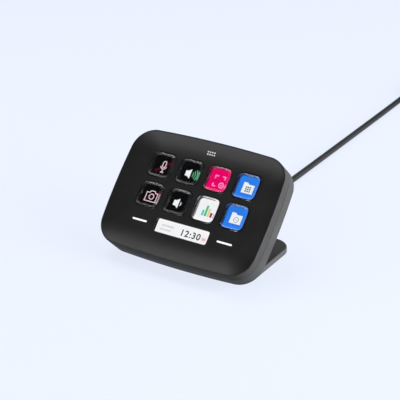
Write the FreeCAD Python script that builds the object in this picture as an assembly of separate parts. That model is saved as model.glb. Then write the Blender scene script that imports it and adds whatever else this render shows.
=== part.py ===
import FreeCAD, Part
import math
import os

# A desk keypad with eight clear display keys, an info display and two lit touch bars, on a fixed foot.
#
# Sizes are in millimetres. Two frames are used:
# the face frame has X to the right, Y up the sloping face and Z out of it, with its origin at the
# centre of the key grid on the flat key field;
# the desk frame is the part's own: X to the right, Y to the back, Z up, with Z = 0 on the desk.

os.makedirs("parts", exist_ok=True)
Vector = FreeCAD.Vector

# Body
body_width = 107.0
body_height = 77.4
corner_radius = 14.9
side_bow = 1.9
grid_above_centre = 7.7
rim_height = 2.9
face_to_joint = 4.4
face_to_back = 13.4
face_tilt = 46.0
grid_height = 43.2

# Shell walls and edges
face_wall = 1.6
side_wall = 2.0
back_wall = 2.0
rim_land = 0.9
rim_edge_radius = 0.6
back_edge_radius = 1.0
dish_width = 16.0
dish_corner_radius = 5.5
dish_sections = 6
joint_gap = 0.3
lip_depth = 1.6
lip_clearance = 0.15

# Keys
key_columns = 4
key_rows = 2
key_pitch = 19.5
cap_width = 15.0
cap_height = 15.3
cap_corner = 3.0
cap_proud = 0.8
cap_edge_radius = 0.7
cap_dish_depth = 0.35
cap_dish_radius = 6.4
cap_clearance = 0.3
aperture_bevel = 0.3
flange_reach = 0.7
flange_thickness = 0.7
flange_gap = 0.2
plinth_inset = 0.6
plinth_drop = 0.5
key_travel = 1.0
travel_clearance = 0.2

# Key mat, frame and contact film
mat_thickness = 0.4
dome_wall = 0.35
dome_spread = 1.6
window_inset = 0.3
frame_clearance = 0.1
frame_margin = 3.2
film_thickness = 0.2
film_overlap = 0.3

# Main display
lcd_thickness = 1.2
lcd_margin = 3.4
backlight_thickness = 1.5
tray_steel = 0.4
tray_clearance = 0.2
tray_screw_out = 2.55
tray_screw_below_case_screw = 5.9
tray_tab_radius = 2.4
tray_notch = 26.0

# Info display
info_width = 36.0
info_height = 8.2
info_corner = 1.2
info_drop = 26.4
info_clearance = 0.2
info_recess = 0.1
info_lens_thickness = 0.8
info_flange = 1.0
info_flange_thickness = 0.6
info_module_thickness = 1.4

# Touch bars
bar_offset = 29.3
bar_width = 10.0
bar_height = 1.0
bar_clearance = 0.1
bar_flange = 1.0
bar_flange_thickness = 0.6
touch_board_width = 85.0
touch_board_height = 10.8
touch_board_thickness = 1.0
touch_board_gap = 0.2
touch_screw_inset = 2.5
led_width = 3.5
led_height = 1.6
led_thickness = 0.8

# Main board
board_width = 74.0
board_height = 44.0
board_thickness = 1.0
board_below_grid = 2.0
board_behind_tray = 1.4
board_screw_inset = 4.0
chip_height = 0.9
connector_height = 0.8
connector_depth = 3.0
flex_thickness = 0.15
flex_bend = 0.6
lcd_flex_width = 22.0
touch_flex_inset = 11.0
touch_flex_width = 8.0
usb_link_width = 8.0

# Screws: shaft radius, head radius, head height
case_screw = (1.25, 2.2, 1.2)
small_screw = (0.8, 1.5, 0.6)
board_screw = (1.0, 1.9, 0.7)
foot_screw = (1.25, 2.2, 1.2)
screw_clearance = 0.15
boss_wall = 1.6
case_screw_side = 7.9
case_screw_end = 11.1
boss_height = 2.0
case_screw_length = 6.5
small_screw_length = 3.0
board_screw_length = 3.0
foot_screw_length = 5.0

# Wedge and receptacle at the back; distances in the desk frame are from the key grid's centre
wedge_width = 64.0
wedge_depth = 14.0
wedge_wall = 2.0
wedge_corner_radius = 4.0
port_above_foot = 7.5
port_width = 8.94
port_height = 3.26
port_length = 7.3
port_metal = 0.3
port_recess = 0.5
port_clearance = 0.2
tongue_width = 6.7
tongue_height = 0.7
usb_board_width = 22.0
usb_board_length = 8.0
usb_board_thickness = 1.0
usb_screw_x = 8.5

# Foot
foot_width = 90.0
foot_back = 38.3
foot_thickness = 3.4
foot_corner_radius = 11.3
foot_top_radius = 0.8
foot_bottom_radius = 0.3
foot_front_gap = 0.3
pad_inset = 2.5
pad_thickness = 0.8
pad_proud = 0.3
weight_inset = 5.5
weight_behind_wedge = 2.5
weight_thickness = 1.2
foot_screw_x = 25.0
foot_screw_steps = (9.9, 4.1)

# Cable
cable_diameter = 4.0
cable_length = 1500.0
plug_shell_width = 8.25
plug_shell_height = 2.4
plug_shell_length = 6.5
plug_shell_metal = 0.3
grip_width = 12.0
grip_height = 6.6
grip_length = 18.0
grip_gap = 0.4
relief_length = 12.0
relief_start = 5.6
relief_end = 4.6
host_shell_width = 12.0
host_shell_height = 4.5
host_shell_length = 12.0
host_shell_metal = 0.4
host_grip_width = 16.0
host_grip_height = 8.0
host_grip_length = 24.0

# The cable's route over the desk, after the strain relief's end and up to the coil (desk frame)
cable_route = [
    (0.0, 31.0, 11.2),
    (0.0, 46.0, 8.2),
    (-0.3, 62.0, 3.4),
    (-0.5, 78.0, 2.1),
    (1.4, 284.0, 2.1),
    (1.4, 301.0, 2.9),
    (1.4, 318.0, 2.9),
]

# The coil of cable that lies past the end of that route
coil_turns = 8.25
coil_climb = 0.5
coil_mean_diameter = 46.27
coil_spacing = 4.5
tie_width = 7.0
tie_thickness = 0.8
tie_clearance = 0.5

# The cable's way out of the coil to the far plug, as steps ahead of the coil's end, aside and up
tail_steps = [
    (0.0, 0.0, 0.0),
    (9.0, 0.0, 0.0),
    (22.0, 0.0, -3.4),
    (31.0, 0.0, -3.4),
]

# Worked out from the sizes above
tilt = math.radians(face_tilt)
sin_tilt = math.sin(tilt)
cos_tilt = math.cos(tilt)
foot_bottom = -grid_height + pad_proud
foot_top = foot_bottom + foot_thickness
outline_low = -grid_above_centre - body_height / 2
rim_lowest = outline_low + rim_edge_radius
rim_front = rim_lowest * cos_tilt - (rim_height - rim_edge_radius) * sin_tilt - rim_edge_radius
grid_y = -(rim_front + foot_back) / 2
foot_front = (foot_top * cos_tilt + face_to_back + foot_front_gap) / sin_tilt
wedge_back = (foot_top * cos_tilt + face_to_back) / sin_tilt + wedge_depth
case_screw_x = body_width / 2 - case_screw_side
case_screw_up = body_height / 2 - case_screw_end
tray_screw_y = case_screw_up - grid_above_centre - tray_screw_below_case_screw
board_screw_x = board_width / 2 - board_screw_inset
board_screw_y = board_height / 2 - board_screw_inset
touch_screw_x = touch_board_width / 2 - touch_screw_inset
touch_flex_x = board_width / 2 - touch_flex_inset
cap_top = cap_proud
flange_top = -face_wall - flange_gap
flange_bottom = flange_top - flange_thickness
mat_top = flange_bottom - key_travel - travel_clearance
mat_bottom = mat_top - mat_thickness
film_bottom = mat_bottom - film_thickness
lcd_bottom = film_bottom - lcd_thickness
backlight_bottom = lcd_bottom - backlight_thickness
tray_bottom = backlight_bottom - tray_steel
board_front = tray_bottom - board_behind_tray
board_rear = board_front - board_thickness
back_inside = -face_to_back + back_wall
lens_flange_front = -info_recess - info_lens_thickness
lens_back = lens_flange_front - info_flange_thickness
info_module_back = lens_back - info_module_thickness
touch_board_front = info_module_back - touch_board_gap
touch_board_back = touch_board_front - touch_board_thickness
grid_half_width = ((key_columns - 1) * key_pitch + cap_width) / 2
grid_half_height = ((key_rows - 1) * key_pitch + cap_height) / 2
port_z = foot_top + port_above_foot
board_low_edge = -board_below_grid - board_height / 2
touch_connector_y = -info_drop - 1.5


def bow_radius(half_chord):
    """Radius of a side that bows out by side_bow over its whole chord."""
    return (half_chord ** 2 + side_bow ** 2) / (2 * side_bow)


def outline(inset, corner, z):
    """The body's outline of eight arcs, four bowed sides and four corners, drawn in by an inset."""
    half_w = body_width / 2 - inset
    half_h = body_height / 2 - inset
    side_r = bow_radius(body_height / 2) - inset
    top_r = bow_radius(body_width / 2) - inset
    side_centre = Vector(half_w - side_r, 0, 0)
    top_centre = Vector(0, half_h - top_r, 0)
    across = top_centre - side_centre
    gap = across.Length
    ahead = ((side_r - corner) ** 2 - (top_r - corner) ** 2 + gap ** 2) / (2 * gap)
    aside = math.sqrt((side_r - corner) ** 2 - ahead ** 2)
    across.normalize()
    centre = side_centre + across * ahead + Vector(-across.y, across.x, 0) * aside
    to_side = (centre - side_centre).normalize()
    to_top = (centre - top_centre).normalize()
    to_corner = (to_side + to_top).normalize()
    quarter = [centre + to_side * corner, centre + to_corner * corner, centre + to_top * corner]

    def place(point, sx, sy):
        return Vector(sx * point.x, sy * point.y - grid_above_centre, z)

    right = Vector(half_w, 0, 0)
    top = Vector(0, half_h, 0)
    arcs = []
    low, mid, high = quarter
    arcs.append((place(low, 1, -1), place(right, 1, 1), place(low, 1, 1)))
    arcs.append((place(low, 1, 1), place(mid, 1, 1), place(high, 1, 1)))
    arcs.append((place(high, 1, 1), place(top, 1, 1), place(high, -1, 1)))
    arcs.append((place(high, -1, 1), place(mid, -1, 1), place(low, -1, 1)))
    arcs.append((place(low, -1, 1), place(right, -1, 1), place(low, -1, -1)))
    arcs.append((place(low, -1, -1), place(mid, -1, -1), place(high, -1, -1)))
    arcs.append((place(high, -1, -1), place(top, 1, -1), place(high, 1, -1)))
    arcs.append((place(high, 1, -1), place(mid, 1, -1), place(low, 1, -1)))
    return Part.Wire([Part.Arc(*points).toShape() for points in arcs])


def extrude(wire, height):
    return Part.Face(wire).extrude(Vector(0, 0, height))


def body_prism(inset, z_low, z_high):
    return extrude(outline(inset, corner_radius - inset, z_low), z_high - z_low)


def dish_tool(drop):
    """What the dished face leaves open, moved down by a drop."""
    wires = []
    for step in range(dish_sections + 1):
        share = step / dish_sections
        inset = rim_land + share * dish_width
        outer = corner_radius - rim_land
        corner = outer + share * (dish_corner_radius - outer)
        wires.append(outline(inset, corner, rim_height * (1 - share) ** 2 - drop))
    bowl = Part.makeLoft(wires, True, False)
    mouth = extrude(wires[0], drop + 1.0)
    return bowl.fuse(mouth)


def rounded_rectangle(x, y, width, height, radius, z):
    """A closed wire of four lines and four arcs in a plane of constant Z."""
    edges = []
    half_w = width / 2
    half_h = height / 2
    corners = [(1, -1), (1, 1), (-1, 1), (-1, -1)]
    points = []
    for sx, sy in corners:
        centre = Vector(x + sx * (half_w - radius), y + sy * (half_h - radius), z)
        first = Vector(sx * radius, 0, 0)
        second = Vector(0, sy * radius, 0)
        if sx * sy < 0:
            first, second = second, first
        middle = (first + second).normalize() * radius
        points.append((centre + first, centre + middle, centre + second))
    for index, (start, middle, end) in enumerate(points):
        edges.append(Part.Arc(start, middle, end).toShape())
        following = points[(index + 1) % len(points)][0]
        edges.append(Part.LineSegment(end, following).toShape())
    return Part.Wire(edges)


def plate(x, y, width, height, radius, z_low, z_high):
    return extrude(rounded_rectangle(x, y, width, height, radius, z_low), z_high - z_low)


def frustum(x, y, low_size, high_size, z_low, z_high):
    """A block with rounded corners and sloping sides; each size is width, height, corner radius."""
    low = rounded_rectangle(x, y, *low_size, z_low)
    high = rounded_rectangle(x, y, *high_size, z_high)
    return Part.makeLoft([low, high], True, True)


def box(x_low, x_high, y_low, y_high, z_low, z_high):
    size = (x_high - x_low, y_high - y_low, z_high - z_low)
    return Part.makeBox(*size, Vector(x_low, y_low, z_low))


def peg(x, y, radius, z_low, z_high):
    return Part.makeCylinder(radius, z_high - z_low, Vector(x, y, z_low))


def upright_box(x, y, width, height, z_low, z_high):
    return box(x - width / 2, x + width / 2, y - height / 2, y + height / 2, z_low, z_high)


def screw(sizes, x, y, seat, length, out):
    """A screw whose head seats at a height and points out, +1 or -1 along Z; the shaft runs the other way."""
    shaft_radius, head_radius, head_height = sizes
    head = Part.makeCylinder(head_radius, head_height, Vector(x, y, seat), Vector(0, 0, out))
    shaft = Part.makeCylinder(shaft_radius, length, Vector(x, y, seat), Vector(0, 0, -out))
    slot = box(-head_radius, head_radius, -0.25, 0.25, 0, 0.4)
    slot.translate(Vector(x, y, seat + (head_height - 0.4 if out > 0 else -head_height)))
    return head.fuse(shaft).cut(slot)


def together(shapes):
    """Several shapes joined into one solid."""
    first, rest = shapes[0], shapes[1:]
    return first.multiFuse(rest).removeSplitter() if rest else first


def mirrored_x(x, y):
    return [(x, y), (-x, y)]


def key_centres():
    centres = []
    for row in range(key_rows):
        for column in range(key_columns):
            x = (column - (key_columns - 1) / 2) * key_pitch
            y = ((key_rows - 1) / 2 - row) * key_pitch
            centres.append((x, y))
    return centres


def case_screw_places():
    up = case_screw_up - grid_above_centre
    down = -case_screw_up - grid_above_centre
    return mirrored_x(case_screw_x, up) + mirrored_x(case_screw_x, down)


def tray_screw_places():
    x = display_half_sizes()[0] + tray_clearance + tray_steel + tray_screw_out
    return mirrored_x(x, tray_screw_y) + mirrored_x(x, -tray_screw_y)


def board_screw_places():
    up = board_screw_y - board_below_grid
    down = -board_screw_y - board_below_grid
    return mirrored_x(board_screw_x, up) + mirrored_x(board_screw_x, down)


def touch_screw_places():
    return mirrored_x(touch_screw_x, -info_drop)


def make_front_bezel():
    joint = -face_to_joint + joint_gap / 2
    shell = body_prism(0, joint, rim_height)
    rim = [e for e in shell.Edges if abs(e.BoundBox.ZMin - rim_height) < 1e-6]
    shell = shell.makeFillet(rim_edge_radius, rim)
    shell = shell.cut(dish_tool(0))
    cavity = body_prism(side_wall, joint - 1, rim_height - face_wall)
    shell = shell.cut(cavity.cut(dish_tool(face_wall)))
    lip_low = joint - joint_gap - lip_depth
    lip = body_prism(side_wall / 2 + lip_clearance, lip_low, joint)
    lip = lip.cut(body_prism(side_wall, lip_low - 1, joint + 1))
    adds = [lip]
    cuts = []
    for x, y in case_screw_places():
        radius = case_screw[0] + boss_wall
        adds.append(peg(x, y, radius, back_inside + boss_height, -face_wall / 2))
        cuts.append(peg(x, y, case_screw[0], back_inside + boss_height - 1, -face_wall))
    for x, y in tray_screw_places():
        adds.append(peg(x, y, small_screw[0] + boss_wall - 0.2, backlight_bottom, -face_wall / 2))
        cuts.append(peg(x, y, small_screw[0], backlight_bottom - 1, -face_wall))
    for x, y in touch_screw_places():
        adds.append(peg(x, y, small_screw[0] + boss_wall - 0.2, touch_board_front, -face_wall / 2))
        cuts.append(peg(x, y, small_screw[0], touch_board_front - 1, -face_wall / 2))
    shell = together([shell] + adds)
    for x, y in key_centres():
        cuts.extend(key_aperture(x, y))
    cuts.append(window_cut(info_clearance))
    rebate = info_flange + info_clearance
    cuts.append(plate(0, -info_drop, info_width + 2 * rebate, info_height + 2 * rebate, info_corner + rebate,
                      -face_wall - 1, lens_flange_front))
    for x, y in mirrored_x(bar_offset, -info_drop):
        width = bar_width + 2 * bar_clearance
        height = bar_height + 2 * bar_clearance
        cuts.append(plate(x, y, width, height, height / 2 - 0.05, -face_wall - 1, 1))
    return shell.cut(cuts)


def key_aperture(x, y):
    """The through hole for one cap, with a bevel round its mouth."""
    width = cap_width + 2 * cap_clearance
    height = cap_height + 2 * cap_clearance
    corner = cap_corner + cap_clearance
    hole = plate(x, y, width, height, corner, -face_wall - 1, 1)
    grow = 2 * aperture_bevel
    bevel = frustum(x, y, (width, height, corner), (width + 2 * grow, height + 2 * grow, corner + grow),
                    -aperture_bevel, aperture_bevel)
    return [hole, bevel]


def window_cut(clearance):
    return plate(0, -info_drop, info_width + 2 * clearance, info_height + 2 * clearance,
                 info_corner + clearance, -face_wall - 1, 1)


def make_rear_shell():
    top = -face_to_joint - joint_gap / 2
    shell = body_prism(0, -face_to_back, top)
    back_edges = [e for e in shell.Edges if abs(e.BoundBox.ZMax + face_to_back) < 1e-6]
    shell = shell.makeFillet(back_edge_radius, back_edges)
    groove = body_prism(side_wall / 2, top - lip_depth, top + 1)
    hollow = body_prism(side_wall, back_inside, top + 1)
    wedge, wedge_hollow = make_wedge()
    shell = together([shell, wedge]).cut([groove, hollow, wedge_hollow])
    adds = []
    cuts = []
    for x, y in case_screw_places():
        adds.append(peg(x, y, case_screw[0] + boss_wall, back_inside - 0.5, back_inside + boss_height))
        head_floor = -face_to_back + case_screw[2] + 0.1
        cuts.append(peg(x, y, case_screw[1] + screw_clearance, -face_to_back - 1, head_floor))
        cuts.append(peg(x, y, case_screw[0] + screw_clearance, -face_to_back, back_inside + boss_height + 1))
    for x, y in board_screw_places():
        adds.append(peg(x, y, board_screw[0] + boss_wall, back_inside - 0.5, board_rear))
        cuts.append(peg(x, y, board_screw[0], board_front - board_screw_length - 0.2, board_rear + 1))
    for boss, hole in foot_bosses() + usb_bosses():
        adds.append(boss)
        cuts.append(hole)
    shell = together([shell] + adds)
    return shell.cut(cuts + [port_hole()])


def to_face(shape):
    """A shape drawn in the desk frame's directions about the grid's centre, seen in the face frame."""
    copy = shape.copy()
    copy.rotate(Vector(0, 0, 0), Vector(1, 0, 0), -face_tilt)
    return copy


def back_plane_y(z):
    """Where the back face of the body stands at a height, in the desk frame from the grid's centre."""
    return (z * cos_tilt + face_to_back) / sin_tilt


def side_profile(points, half_width):
    """A prism along X with a closed outline of (Y, Z) points."""
    corners = [Vector(-half_width, y, z) for y, z in points]
    wire = Part.makePolygon(corners + corners[:1])
    return Part.Face(wire).extrude(Vector(2 * half_width, 0, 0))


def make_wedge():
    """The wedge that stands on the foot, and the hollow inside it."""
    back_top = (wedge_back * sin_tilt - face_to_back) / cos_tilt
    inward = 1.0
    outer = [
        (back_plane_y(foot_top) - inward / sin_tilt, foot_top),
        (wedge_back, foot_top),
        (wedge_back, back_top),
        (wedge_back - inward * sin_tilt, back_top + inward * cos_tilt),
    ]
    wedge = side_profile(outer, wedge_width / 2)
    upright = [e for e in wedge.Edges
               if abs(e.BoundBox.YMin - wedge_back) < 1e-6 and e.BoundBox.ZLength > 1
               and e.BoundBox.XLength < 1e-6 and e.BoundBox.YLength < 1e-6]
    wedge = wedge.makeFillet(wedge_corner_radius, upright)
    inner_back = wedge_back - wedge_wall
    inner_low = foot_top + wedge_wall
    inner_top = (inner_back * sin_tilt - face_to_back + back_wall) / cos_tilt
    reach = back_wall + 0.5
    inner_front = back_plane_y(inner_low)
    hollow = [
        (inner_front - reach / sin_tilt, inner_low),
        (inner_back, inner_low),
        (inner_back, inner_top - 2.0),
        (inner_back - reach * sin_tilt, inner_top - 2.0 + reach * cos_tilt),
    ]
    inside = side_profile(hollow, wedge_width / 2 - wedge_wall)
    return to_face(wedge), to_face(inside)


def foot_bosses():
    """Bosses in the wedge for the foot's screws, each with its pilot hole."""
    pairs = []
    low = foot_top + 0.5
    high = foot_screw_seat() + foot_screw_length + 0.3
    for x, y in foot_screw_places():
        boss = peg(x, y, foot_screw[0] + boss_wall, low, high + 0.4)
        hole = peg(x, y, foot_screw[0], foot_top - 1, high)
        pairs.append((to_face(boss), to_face(hole)))
    return pairs


def usb_board_top():
    return port_z - port_height / 2


def usb_board_middle():
    return wedge_back - wedge_wall - 0.3 - usb_board_length / 2


def usb_bosses():
    """Standoffs in the wedge that carry the receptacle's board."""
    pairs = []
    low = foot_top + 0.5
    high = usb_board_top() - usb_board_thickness
    for x in (usb_screw_x, -usb_screw_x):
        boss = peg(x, usb_board_middle(), small_screw[0] + boss_wall - 0.2, low, high)
        hole = peg(x, usb_board_middle(), small_screw[0], high - small_screw_length + 0.8, high + 1)
        pairs.append((to_face(boss), to_face(hole)))
    return pairs


def slot_along_y(width, height, y_low, y_high):
    """A bar of stadium section along Y, about the port's axis."""
    bar = plate(0, 0, width, height, height / 2 - 0.02, 0, y_high - y_low)
    bar.rotate(Vector(0, 0, 0), Vector(1, 0, 0), -90)
    bar.translate(Vector(0, y_low, port_z))
    return bar


def port_hole():
    grow = 2 * port_clearance
    tool = slot_along_y(port_width + grow, port_height + grow, wedge_back - wedge_wall - 1, wedge_back + 1)
    return to_face(tool)


def make_key_cap(x, y):
    """A clear cap with a dished top, a retaining flange and a lower plinth over the display."""
    body = plate(x, y, cap_width, cap_height, cap_corner, flange_bottom, cap_top)
    edge = [e for e in body.Edges if abs(e.BoundBox.ZMin - cap_top) < 1e-6]
    body = body.makeFillet(cap_edge_radius, edge)
    flange = plate(x, y, cap_width + 2 * flange_reach, cap_height + 2 * flange_reach,
                   cap_corner + flange_reach, flange_bottom, flange_top)
    plinth = plate(x, y, cap_width - 2 * plinth_inset, cap_height - 2 * plinth_inset,
                   cap_corner - plinth_inset, flange_bottom - plinth_drop, flange_bottom + 0.1)
    ball = (cap_dish_radius ** 2 + cap_dish_depth ** 2) / (2 * cap_dish_depth)
    dish = Part.makeSphere(ball, Vector(x, y, cap_top - cap_dish_depth + ball))
    return together([body, flange, plinth]).cut(dish)


def make_key_mat():
    """Silicone sheet with a window and a raised dome web for each key."""
    width = 2 * (grid_half_width + frame_margin)
    height = 2 * (grid_half_height + frame_margin)
    sheet = plate(0, 0, width, height, cap_corner, mat_bottom, mat_top)
    adds = []
    cuts = []
    for x, y in key_centres():
        low = (cap_width + 2 * (flange_reach + 0.3), cap_height + 2 * (flange_reach + 0.3), cap_corner + 1)
        shrink = dome_spread
        high = (low[0] - shrink, low[1] - shrink, low[2] - shrink / 2)
        adds.append(frustum(x, y, low, high, mat_top - mat_thickness / 2, flange_bottom))
        in_low = (low[0] - 2 * dome_wall, low[1] - 2 * dome_wall, low[2] - dome_wall)
        in_high = (high[0] - 2 * dome_wall, high[1] - 2 * dome_wall, high[2] - dome_wall)
        cuts.append(frustum(x, y, in_low, in_high, mat_top, flange_bottom - dome_wall))
        cuts.append(plate(x, y, cap_width - 2 * window_inset, cap_height - 2 * window_inset,
                          cap_corner - window_inset, mat_bottom - 1, flange_bottom + 1))
    return together([sheet] + adds).cut(cuts)


def make_key_frame():
    """Grid frame between the bezel and the mat, with a window round each dome."""
    width = 2 * (grid_half_width + frame_margin)
    height = 2 * (grid_half_height + frame_margin)
    frame = plate(0, 0, width, height, cap_corner, mat_top, -face_wall)
    wide = cap_width + 2 * (flange_reach + 0.3 + frame_clearance)
    tall = cap_height + 2 * (flange_reach + 0.3 + frame_clearance)
    cuts = [plate(x, y, wide, tall, cap_corner + 1, mat_top - 1, 0) for x, y in key_centres()]
    return frame.cut(cuts)


def display_half_sizes():
    return grid_half_width + lcd_margin, grid_half_height + lcd_margin


def make_contact_film():
    half_w, half_h = display_half_sizes()
    film = plate(0, 0, 2 * half_w - 1, 2 * half_h - 1, cap_corner, film_bottom, mat_bottom)
    cuts = []
    for x, y in key_centres():
        cuts.append(plate(x, y, cap_width - 2 * film_overlap, cap_height - 2 * film_overlap,
                          cap_corner - film_overlap, film_bottom - 1, mat_bottom + 1))
    return film.cut(cuts)


def make_lcd_panel():
    half_w, half_h = display_half_sizes()
    return box(-half_w, half_w, -half_h, half_h, lcd_bottom, film_bottom)


def make_lcd_backlight():
    half_w, half_h = display_half_sizes()
    return box(-half_w, half_w, -half_h, half_h, backlight_bottom, lcd_bottom)


def make_lcd_tray():
    """Pressed tray with four screw tabs and a notch for the flat cable."""
    half_w, half_h = display_half_sizes()
    inner_w = half_w + tray_clearance
    inner_h = half_h + tray_clearance
    outer_w = inner_w + tray_steel
    outer_h = inner_h + tray_steel
    tray = box(-outer_w, outer_w, -outer_h, outer_h, tray_bottom, film_bottom)
    tray = tray.cut(box(-inner_w, inner_w, -inner_h, inner_h, backlight_bottom, film_bottom + 1))
    tray = tray.cut(box(-tray_notch / 2, tray_notch / 2, -outer_h - 1, -inner_h + 0.1, backlight_bottom,
                        film_bottom + 1))
    tabs = []
    holes = []
    for x, y in tray_screw_places():
        inner = math.copysign(inner_w, x)
        low, high = sorted((inner, x))
        tabs.append(box(low, high, y - tray_tab_radius, y + tray_tab_radius, tray_bottom, backlight_bottom))
        tabs.append(peg(x, y, tray_tab_radius, tray_bottom, backlight_bottom))
        holes.append(peg(x, y, small_screw[0] + screw_clearance, tray_bottom - 1, backlight_bottom + 1))
    return together([tray] + tabs).cut(holes)


def make_info_lens():
    pane = plate(0, -info_drop, info_width, info_height, info_corner, lens_back, -info_recess)
    flange = plate(0, -info_drop, info_width + 2 * info_flange, info_height + 2 * info_flange,
                   info_corner + info_flange, lens_back, lens_flange_front)
    return together([pane, flange])


def make_info_display():
    return upright_box(0, -info_drop, info_width + 2 * info_flange, info_height + 2 * info_flange,
                       info_module_back, lens_back)


def make_light_pipe(x):
    y = -info_drop
    bar = plate(x, y, bar_width, bar_height, bar_height / 2 - 0.05, -face_wall - bar_flange_thickness, 0)
    flange = plate(x, y, bar_width + 2 * bar_flange, bar_height + 2 * bar_flange, bar_flange,
                   -face_wall - bar_flange_thickness, -face_wall)
    return together([bar, flange])


def make_touch_board():
    board = upright_box(0, -info_drop, touch_board_width, touch_board_height, touch_board_back,
                        touch_board_front)
    holes = []
    for x, y in touch_screw_places():
        holes.append(peg(x, y, small_screw[0] + screw_clearance, touch_board_back - 1, touch_board_front + 1))
    return board.cut(holes)


def make_touch_leds():
    return Part.makeCompound([
        upright_box(x, y, led_width, led_height, touch_board_front, touch_board_front + led_thickness)
        for x, y in mirrored_x(bar_offset, -info_drop)
    ])


def make_main_board():
    board = upright_box(0, -board_below_grid, board_width, board_height, board_rear, board_front)
    holes = [peg(x, y, board_screw[0] + screw_clearance, board_rear - 1, board_front + 1)
             for x, y in board_screw_places()]
    return board.cut(holes)


def make_main_board_chips():
    """Controller, memory, drivers and regulators on the rear of the board, placed by shares of its size."""
    chips = [(-0.11, 0.12, 10.0, 10.0), (0.11, 0.16, 6.0, 5.0), (-0.30, 0.08, 4.0, 4.0),
             (0.27, -0.08, 7.0, 7.0), (0.11, -0.12, 3.0, 3.0), (-0.30, -0.16, 5.0, 3.2)]
    solids = []
    for across, up, width, height in chips:
        x = across * board_width
        y = up * board_height - board_below_grid
        solids.append(upright_box(x, y, width, height, board_rear - chip_height, board_rear))
    return Part.makeCompound(solids)


def make_flex_connectors():
    """Connectors on the front and rear of the main board, the touch board and the receptacle's board."""
    y = board_low_edge + connector_depth / 2
    front = [upright_box(0, y, lcd_flex_width + 2, connector_depth, board_front, board_front + connector_height),
             upright_box(touch_flex_x, y, touch_flex_width + 2, connector_depth, board_front,
                         board_front + connector_height)]
    rear = upright_box(0, y, usb_link_width + 2, connector_depth, board_rear - connector_height, board_rear)
    touch = upright_box(touch_flex_x, touch_connector_y, touch_flex_width + 2, connector_depth,
                        touch_board_back - connector_height, touch_board_back)
    start = usb_board_middle() - usb_board_length / 2
    usb = box(-usb_link_width / 2 - 1, usb_link_width / 2 + 1, start, start + connector_depth - 1,
              usb_board_top(), usb_board_top() + connector_height)
    return Part.makeCompound(front + [rear, touch, to_face(usb)])


def bent_path(points, radii):
    """Straight runs joined by tangent arcs, one radius for each inner point."""
    edges = []
    start = points[0]
    for before, corner, after, radius in zip(points, points[1:], points[2:], radii):
        into = (corner - before).normalize()
        out = (after - corner).normalize()
        turn = into.getAngle(out)
        reach = radius * math.tan(turn / 2)
        first = corner - into * reach
        last = corner + out * reach
        inward = (out - into).normalize()
        middle = corner + inward * (radius / math.cos(turn / 2) - radius)
        edges.append(Part.LineSegment(start, first).toShape())
        edges.append(Part.Arc(first, middle, last).toShape())
        start = last
    edges.append(Part.LineSegment(start, points[-1]).toShape())
    return Part.Wire(edges)


def ribbon(x, width, points):
    """A flat cable of constant thickness that follows (Y, Z) points in the face frame."""
    path = [Vector(x, y, z) for y, z in points]
    route = bent_path(path, [min(flex_bend, radius) for radius in route_radii(path)])
    ahead = (path[1] - path[0]).normalize()
    up = Vector(1, 0, 0).cross(ahead)
    half = width / 2
    thin = flex_thickness / 2
    corners = [path[0] + Vector(1, 0, 0) * (sx * half) + up * (sy * thin)
               for sx, sy in ((-1, -1), (1, -1), (1, 1), (-1, 1))]
    profile = Part.makePolygon(corners + corners[:1])
    return route.makePipeShell([profile], True, False)


def make_lcd_flex():
    half_h = display_half_sizes()[1]
    out = board_low_edge - 2.2
    high = film_bottom - lcd_thickness / 2
    low = board_front + connector_height / 2
    return ribbon(0, lcd_flex_width, [(-half_h, high), (out, high), (out, low), (board_low_edge, low)])


def make_touch_flex():
    high = touch_board_back - connector_height / 2
    low = board_front + connector_height / 2
    start = touch_connector_y + connector_depth / 2
    out = start + 1.1
    return ribbon(touch_flex_x, touch_flex_width,
                  [(start, high), (out, high), (out, low), (board_low_edge, low)])


def make_usb_link():
    """The flat cable from the receptacle's board round to the rear of the main board."""
    low_z = usb_board_top() + connector_height / 2
    start = Vector(0, usb_board_middle() - usb_board_length / 2, low_z)
    edge = Vector(0, board_low_edge, board_rear - connector_height / 2)
    top_y = edge.y * cos_tilt - edge.z * sin_tilt
    top_z = edge.y * sin_tilt + edge.z * cos_tilt
    corner_y = top_y - (top_z - low_z) * cos_tilt / sin_tilt
    points = []
    for y, z in ((start.y, start.z), (corner_y, low_z), (top_y, top_z)):
        points.append((y * cos_tilt + z * sin_tilt, -y * sin_tilt + z * cos_tilt))
    return ribbon(0, usb_link_width, points)


def make_usb_board():
    middle = usb_board_middle()
    top = usb_board_top()
    board = upright_box(0, middle, usb_board_width, usb_board_length, top - usb_board_thickness, top)
    holes = [peg(x, middle, small_screw[0] + screw_clearance, top - 3, top + 1)
             for x in (usb_screw_x, -usb_screw_x)]
    return to_face(board.cut(holes))


def port_mouth():
    return wedge_back - port_recess


def make_usb_receptacle():
    mouth = port_mouth()
    shell = slot_along_y(port_width, port_height, mouth - port_length, mouth)
    inner = slot_along_y(port_width - 2 * port_metal, port_height - 2 * port_metal,
                         mouth - port_length + port_metal, mouth + 1)
    return to_face(shell.cut(inner))


def make_usb_tongue():
    mouth = port_mouth()
    back = mouth - port_length + port_metal
    half = tongue_height / 2
    tongue = box(-tongue_width / 2, tongue_width / 2, back, mouth - 1.2, port_z - half, port_z + half)
    return to_face(tongue)


def foot_plan(inset, front, z_low, z_high):
    """The foot's rounded plan between two heights, drawn in at its sides and back, with a given front."""
    back = foot_back - inset
    return plate(0, (front + back) / 2, foot_width - 2 * inset, back - front, foot_corner_radius - inset,
                 z_low, z_high)


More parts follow.
